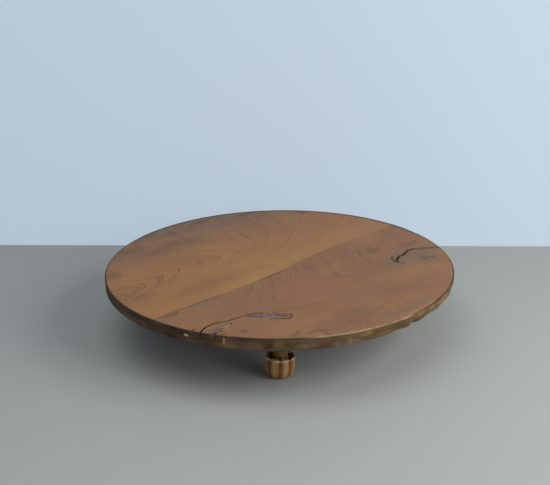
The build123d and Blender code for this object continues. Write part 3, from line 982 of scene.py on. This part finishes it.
def paintSplits(wood, at):                # dirt beside the cracks, and the raw wood of the torn strip
    tree = wood.tree
    for names, width in splitStains:
        wood.add(besideCracks(tree, at.place, names, width) * 0.75, "brownStain")
    torn = besideCracks(tree, at.place, ["tornBand"], 10 * mm)
    greyed = at.px.over(boardAreas["tornGrey"]) * at.px.over(boardAreas["tornRed"])
    raw = Coats(tree, boardFinish, greyed, "tornRed", "tornGrey")
    flecks = stretched(tree, (at.px, at.py), (120.0, 240.0), 3.0).step(0.5, 0.64)
    raw.add(flecks * 0.75, "brownStain")
    wood.add(torn * 0.85, raw.colour)
    return torn


def rimShade(tree, at):                   # end grain and side grain of the rim, with painted light on one side and painted shade on the other
    way = (at.px, at.py, at.pz)
    streaks = stretched(tree, way, (24.0, 24.0, 95.0), 4.0, 0.6)
    upright = stretched(tree, way, (120.0, 120.0, 12.0), 3.0, 0.6)
    patches = speckle(tree, at.place, 14.0, 2.0)
    hue = speckle(tree, joined(tree, at.px * 13.0, at.py * 13.0, at.pz * 40.0 + 7.0), 1.0, 3.0, 0.55)
    litX, litY = boardAreas["litRimWay"]
    # painted light: the rim lighter and more golden towards litRimWay; painted shade: darker away from it
    rimLit = (at.px * litX + at.py * litY).over(boardAreas["rimLit"])
    goldAndLit = streaks.step(0.34, 0.74) * 0.28 + patches.step(0.36, 0.7) * 0.13 + rimLit * 0.42
    rim = Coats(tree, boardFinish, goldAndLit, "rimDark", "rimGold")
    rim.add(hue.step(0.52, 0.66) * 0.55, "rimMauve")
    rim.add(hue.step(0.47, 0.34) * 0.6, "rimRed")
    rim.add(at.deep.over(fromFace["pale"]) * patches.step(0.36, 0.66) * (rimLit * 0.5 + 0.12), "rimPale")
    rim.add(upright.step(0.6, 0.72) * 0.45, "crack")
    for centre, size, tone, strength in rimMarks:
        mask, = useGroup(
            tree, stainGroup, Place=at.place, Centre=Vector(centre) * mm, Size=Vector(size) * mm)
        rim.add(mask * strength, tone)
    return rim.colour, streaks, upright


def paintRim(wood, at):
    onRim = at.inward.over(fromRim["scallop"]) * at.deep.over(fromFace["scallop"])
    onRim = onRim.most(at.inward.over(fromRim["edge"]))
    rimColour, streaks, upright = rimShade(wood.tree, at)
    wood.add(onRim, rimColour)
    return onRim, onRim * (streaks * 2.0 + upright * 1.2)


def paintEdge(wood, at):                  # dirt on the upper edge, and the upper edge darker along the far side; pale where hands have rubbed it, with a painted highlight on the rounded edge
    tree, px, py = wood.tree, at.px, at.py
    worn = speckle(tree, at.place, 36.0, 3.0, 0.6)
    arris = at.deep.over(fromFace["arris"]) * at.inward.over(fromRim["arris"]) * worn.step(0.25, 0.5)
    rubbed = px.over(boardAreas["paleEdgeLeft"]) * px.over(boardAreas["paleEdgeRight"])
    rubbed = rubbed * py.over(boardAreas["paleEdgeFront"])
    wood.add(arris * (rubbed * -1.0 + 1.0) * 0.6, "rimDark")
    # hand wear and a painted highlight on the rounded upper edge
    wood.add(arris * rubbed * 0.55, "arris")
    farX, farY = boardAreas["farSide"]
    # the upper edge darker along the far side
    farEdgeDark = (px * farX + py * farY).over(boardAreas["farEdgeDark"]) * at.inward.over(fromRim["farEdgeDark"])
    wood.add(farEdgeDark * worn.step(0.2, 0.5) * 0.65, "rimDark")
    strokes = speckle(tree, joined(tree, px * 330.0 + py * 120.0, py * 60.0), 1.0, 2.0).step(0.5, 0.64)
    strokes = strokes * (px - boardAreas["strokesAt"] * mm).size().over(boardAreas["strokes"])
    strokes = strokes * at.deep.over(fromFace["strokes"]) * at.inward.over(fromRim["strokes"])
    wood.add(strokes * py.over(boardAreas["strokesFront"]) * 0.3, "fresh")


def paintUnderside(wood, at):
    below = at.deep.over(fromFace["under"]) * at.inward.over(fromRim["under"])
    sawn = stretched(wood.tree, (at.px, at.py), (2.0, 60.0), 4.0)
    wood.add(below, blendColour(wood.tree, sawn, boardFinish["under"], boardFinish["underDark"]))
    return below, sawn


def paintCuts(wood, at, side, torn):      # the dark inside of the cracks, dirt and painted shade in their depth, and of the groove at the joint
    deep = at.deep.over(fromFace["cut"]) * at.inward.over(fromRim["cut"])
    deep = deep * at.deep.over(fromFace["cutEnd"])
    if side == "wide":
        deep = deep * (at.py - glueLine).over(boardAreas["cutSeam"])
    else:
        deep = deep * at.px.size().over(boardAreas["cutSides"]).most(at.inward.over(fromRim["inland"]))
        deep = deep * (torn * at.deep.over(fromFace["torn"]) * -0.8 + 1.0)
    wood.add(deep, "crack")


def boardGrain(tree, side, at):
    x, y = wavyPlace(tree, at.place, at.px, at.py)
    phase, strength, plain, knotMask = knottedRings(tree, side, x, y)
    tone, fibre, pores = useGroup(tree, ringGroup, Phase=phase, Along=x, Fineness=1.2)
    broad = stretched(tree, (x, y), (3.0, 7.0))
    streak = stretched(tree, (at.px, at.py), (3.0, 170.0), 3.0)
    mottle = stretched(tree, (x, y), (9.0, 15.0), 3.0, 0.55)
    hues = speckle(tree, joined(tree, x * 7.0 + 3.0, y * 11.0), 1.0, 4.0, 0.6)
    lines = tone * strength * boardFinish[side]["lines"]
    shade = lines + fibre * 0.4 + broad * 0.4 + streak * 0.16 + mottle * 0.5 - 0.6
    return Bundle(
        tone=tone, fibre=fibre, pores=pores, broad=broad, mottle=mottle, hues=hues,
        shade=shade, plain=plain, knotMask=knotMask,
    )


def boardMaterial(name, side):
    finish, tree, shader, place = newMaterial(name)
    px, py, pz = axes(tree, place)
    at = Bundle(
        place=place, px=px, py=py, pz=pz,
        inward=px.slant(py) * -1.0 + rimRadius,   # how far in from the rim
        deep=pz * -1.0 + topLevel,        # how far below the upper face
    )
    grain = boardGrain(tree, side, at)
    tones = boardFinish[side]
    wood = Coats(tree, boardFinish, grain.shade, tones["light"], tones["dark"])
    if side == "wide":
        paintBands(wood, at, grain)
    wood.add(grain.hues.step(0.5, 0.7) * 0.3, "reddish")
    wood.add(grain.hues.step(0.5, 0.3) * 0.22, "golden")
    # painted shade: the top darker towards its back
    wood.add(py.over(boardAreas["backShade"]) * (grain.mottle * 0.6 + 0.38), "backShade")
    wood.add(grain.pores * 0.4, "pore")
    wood.add(grain.knotMask * 0.35, "brownStain")
    paintStains(wood, at, side)
    torn = paintSplits(wood, at) if side == "narrow" else None
    onRim, rimRelief = paintRim(wood, at)
    paintEdge(wood, at)
    below, sawn = paintUnderside(wood, at)
    paintCuts(wood, at, side, torn)
    rough = grain.fibre * 0.16 + grain.tone * 0.08 + 0.4 + onRim * 0.25 + below * 0.2
    relief = grain.tone * -0.35 + grain.fibre * 0.3 + grain.pores * -0.5 + grain.broad * 1.5
    relief = relief + rimRelief + sawn * below * 1.4
    shader.inputs["Specular IOR Level"].default_value = boardFinish["gloss"]
    dressShader(tree, shader, wood.colour, rough, relief, boardFinish["bump"])
    return finish


wideBoard.data.materials.append(boardMaterial("wideBoard", "wide"))
narrowBoard.data.materials.append(boardMaterial("narrowBoard", "narrow"))
print("board finishes made")


# Finish of the legs, one for all four: a leg's own axis is found from how far it stands from the middle

legFinish = dict(
    ridge=linear(154, 112, 55),
    mid=linear(110, 70, 28),
    # also the colour of painted shade in the lobe valleys and on the leg above the bulb
    valley=linear(80, 49, 21),
    # colour of the painted shade in the hollow and on the lobe valleys near the top, and of the darker
    # bottom of the foot
    grimeAndShade=linear(68, 43, 19),
    # bare worn wood; also the colour of the painted highlight on the lobe ridges and petal tips
    worn=linear(184, 156, 118),
    bulbTop=46 * mm,                      # level of the petal tips
    dishFloor=36 * mm,                    # level of the bottom of the hollow between them
    dishRadius=28 * mm,
    lobes=8,
    ringPitch=3.2 * mm,
    pith=(0.09, -0.05),                   # of the tree, from a leg's axis
    gloss=0.4,
    bump=0.25 * mm,
)


def dress(names, finish):
    for name in names:
        for slot in cadNodes[name].material_slots:
            slot.material = finish


def paintBulb(wood, at, grimeAndShade, valley, inBulb):
    top, floor, radius = legFinish["bulbTop"], legFinish["dishFloor"], legFinish["dishRadius"]
    pz, reach = at.pz, at.reach
    # painted highlight on the lobe ridges, in the worn colour
    wood.add(at.lobe.step(0.7, 0.98) * inBulb * grimeAndShade.step(0.3, 0.6) * 0.5, "worn")
    # painted shade in the valleys between the lobes, deeper towards the top of the bulb
    wood.add(valley * 0.35, "valley")
    wood.add(valley * pz.step(top - 24 * mm, top - 4 * mm) * 0.6, "grimeAndShade")
    # painted shade in the hollow in the bulb and on the neck above it, and a painted highlight on the
    # petal tips
    hollow = pz.step(floor, floor + 2 * mm) * pz.step(top + 14 * mm, top - 2 * mm)
    wood.add(hollow * reach.step(radius - 1 * mm, radius - 4 * mm) * 0.5, "grimeAndShade")
    tips = pz.step(top - 6 * mm, top - 3 * mm) * inBulb * grimeAndShade.step(0.25, 0.42)
    wood.add(tips * reach.step(radius - 2.5 * mm, radius - 0.5 * mm) * 0.8, "worn")


def legMaterial():
    finish, tree, shader, place = newMaterial("turnedLeg")
    px, py, pz = axes(tree, place)
    across = px.size() + pz * tan(splay) - footSpot
    along = py.size() - footSpot
    lobe = (along.calc("ARCTAN2", across) * (legFinish["lobes"] / 2)).calc("SINE").size()
    at = Bundle(pz=pz, reach=across.slant(along), lobe=lobe)   # lobe is 0 in a valley, 1 on a ridge
    pithX, pithY = across + legFinish["pith"][0], along + legFinish["pith"][1]
    wander = speckle(tree, place, 22.0, 2.0) * 0.006
    phase = (pithX.slant(pithY) + wander) / legFinish["ringPitch"]
    tone, _, pores = useGroup(tree, ringGroup, Phase=phase, Along=pz * 2.0)
    hairs = stretched(tree, (px, py, pz), (420.0, 420.0, 16.0))
    grimeAndShade = speckle(tree, place, 60.0, 3.0, 0.6)
    top = legFinish["bulbTop"]
    inBulb = pz.step(top + 1 * mm, top - 2 * mm)
    valley = lobe.step(0.72, 0.0) * inBulb
    shade = tone * 0.35 + hairs * 0.5 + grimeAndShade * 0.5 - 0.3
    wood = Coats(tree, legFinish, shade, "ridge", "mid")
    paintBulb(wood, at, grimeAndShade, valley, inBulb)
    # darker towards the bottom of the foot
    wood.add(pz.step(9 * mm, 1 * mm) * 0.6, "grimeAndShade")
    # painted shade: the leg above the bulb darker, under the table top
    wood.add(pz.step(top, top + 16 * mm) * 0.7, "valley")
    wood.add(pores * 0.4, "valley")
    rough = grimeAndShade * 0.3 + valley * 0.15 + 0.3
    relief = hairs * 0.8 + grimeAndShade * 0.9 - pores * 0.6
    shader.inputs["Specular IOR Level"].default_value = legFinish["gloss"]
    dressShader(tree, shader, wood.colour, rough, relief, legFinish["bump"])
    return finish


dress([name for name in cadNodes if name.startswith("leg_")], legMaterial())
print("legs dressed")


# Finish of the pieces under the top: plain sticks of one wood, each with its grain along its length

frameFinish = dict(
    ringPitch=4.5 * mm,
    pith=(0.06, 0.19),                    # of the tree, across the sticks and below the floor
    edgeWidth=2.4 * mm,
    wander=18 * mm,
    gloss=0.4,
    bump=0.3 * mm,
)
frameTones = dict(                        # light, dark and rubbed edge of each kind of stick
    batten=(linear(146, 108, 70), linear(92, 62, 40), linear(182, 150, 108)),
    swingRail=(linear(136, 97, 60), linear(82, 54, 34), linear(176, 142, 98)),
    bearingBlock=(linear(126, 90, 57), linear(76, 51, 33), linear(168, 134, 94)),
    lockBlock=(linear(140, 102, 64), linear(86, 58, 37), linear(178, 144, 100)),
    lockBar=(linear(152, 112, 66), linear(96, 64, 38), linear(192, 158, 110)),
)


def mirroredBox(name):                    # a node's box as it lies on the positive side of both axes
    low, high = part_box(name)
    near = [min(abs(low[i]), abs(high[i])) if low[i] * high[i] > 0 else -high[i] for i in (0, 1)]
    far = [max(-low[i], high[i]) for i in (0, 1)]
    return Vector((*near, low.z)), Vector((*far, high.z))


def stickMaterial(name, sample, grain):
    light, dark, edge = frameTones[name]
    finish, tree, shader, place = newMaterial(name)
    px, py, pz = axes(tree, place)
    along, across = (px, py) if grain == "X" else (py, px)
    cross, level = across + frameFinish["pith"][0], pz + frameFinish["pith"][1]
    wander = stretched(tree, (along, across, pz), (3.0, 9.0, 9.0)) * frameFinish["wander"]
    phase = (cross.slant(level) + wander) / frameFinish["ringPitch"]
    tone, _, pores = useGroup(tree, ringGroup, Phase=phase, Along=along)
    hairs = stretched(tree, (along, across, pz), (9.0, 300.0, 300.0))
    grimeAndShade = speckle(tree, place, 18.0, 4.0, 0.6)
    wood = Coats(tree, boardFinish, tone * 0.5 + hairs * 0.4 + grimeAndShade * 0.6 - 0.38, light, dark)
    wood.add(pores * 0.35, "pore")
    low, high = mirroredBox(sample)
    mirrored = joined(tree, px.size(), py.size(), pz)
    rubbed, = useGroup(
        tree, edgeGroup, Place=mirrored, Low=low, High=high, Width=frameFinish["edgeWidth"])
    wood.add(rubbed * 0.6, edge)
    rough = grimeAndShade * 0.25 + 0.45 - rubbed * 0.1
    relief = tone * -0.5 + hairs * 0.9 - pores * 0.6 + grimeAndShade * 1.2
    shader.inputs["Specular IOR Level"].default_value = frameFinish["gloss"]
    dressShader(tree, shader, wood.colour, rough, relief, frameFinish["bump"])
    return finish


blocks = [name for name in cadNodes if name.startswith("bearing_block_")]
dress(["batten_left", "batten_right"], stickMaterial("batten", "batten_right", "Y"))
dress(["swing_rail_left", "swing_rail_right"], stickMaterial("swingRail", "swing_rail_right", "Y"))
dress(blocks, stickMaterial("bearingBlock", "bearing_block_right_rear", "X"))
dress(["lock_block", "lock_stop_peg"], stickMaterial("lockBlock", "lock_block", "X"))
dress(["lock_bar"], stickMaterial("lockBar", "lock_bar", "Y"))
print("frame dressed")


# Finish of pins, wedges and metal

smallWoods = dict(                        # light, dark, and how many fibres go to a metre each way
    bamboo=(linear(206, 178, 122), linear(150, 118, 70), (500, 14, 500)),
    wedge=(linear(176, 140, 92), linear(120, 88, 54), (420, 420, 18)),
)
metals = dict(                            # bare, tarnished, and roughness
    screwSteel=(linear(150, 146, 138), linear(74, 48, 34), 0.34),
    brass=(linear(188, 152, 88), linear(96, 74, 40), 0.3),
)
smallBump = dict(wood=0.12 * mm, metal=0.06 * mm)


def smallWoodMaterial(name):
    light, dark, counts = smallWoods[name]
    finish, tree, shader, place = newMaterial(name)
    fibres = stretched(tree, axes(tree, place), counts)
    blotch = speckle(tree, place, 120.0, 3.0)
    colour = blendColour(tree, fibres * 0.9 + blotch * 0.5 - 0.3, light, dark)
    dressShader(tree, shader, colour, fibres * 0.2 + 0.4, fibres + blotch * 0.5, smallBump["wood"])
    return finish


def metalMaterial(name):
    bare, tarnished, roughness = metals[name]
    finish, tree, shader, place = newMaterial(name)
    blotch = speckle(tree, place, 260.0, 4.0, 0.65).step(0.42, 0.62)
    scratches = speckle(tree, place, 1500.0, 2.0)
    colour = blendColour(tree, blotch, bare, tarnished)
    rough = blotch * 0.35 + scratches * 0.12 + roughness
    plug(tree, shader.inputs["Metallic"], blotch * -0.65 + 1.0)
    dressShader(tree, shader, colour, rough, blotch * 0.8 + scratches * 0.5, smallBump["metal"])
    return finish


dress(["joint_pins"], smallWoodMaterial("bamboo"))
dress(["tenon_wedges_left", "tenon_wedges_right"], smallWoodMaterial("wedge"))
dress(["bearing_screws", "lock_block_screws", "lock_pivot_screw"], metalMaterial("screwSteel"))
dress(["lock_bar_bush", "lock_pivot_washers"], metalMaterial("brass"))
print("small pieces dressed")
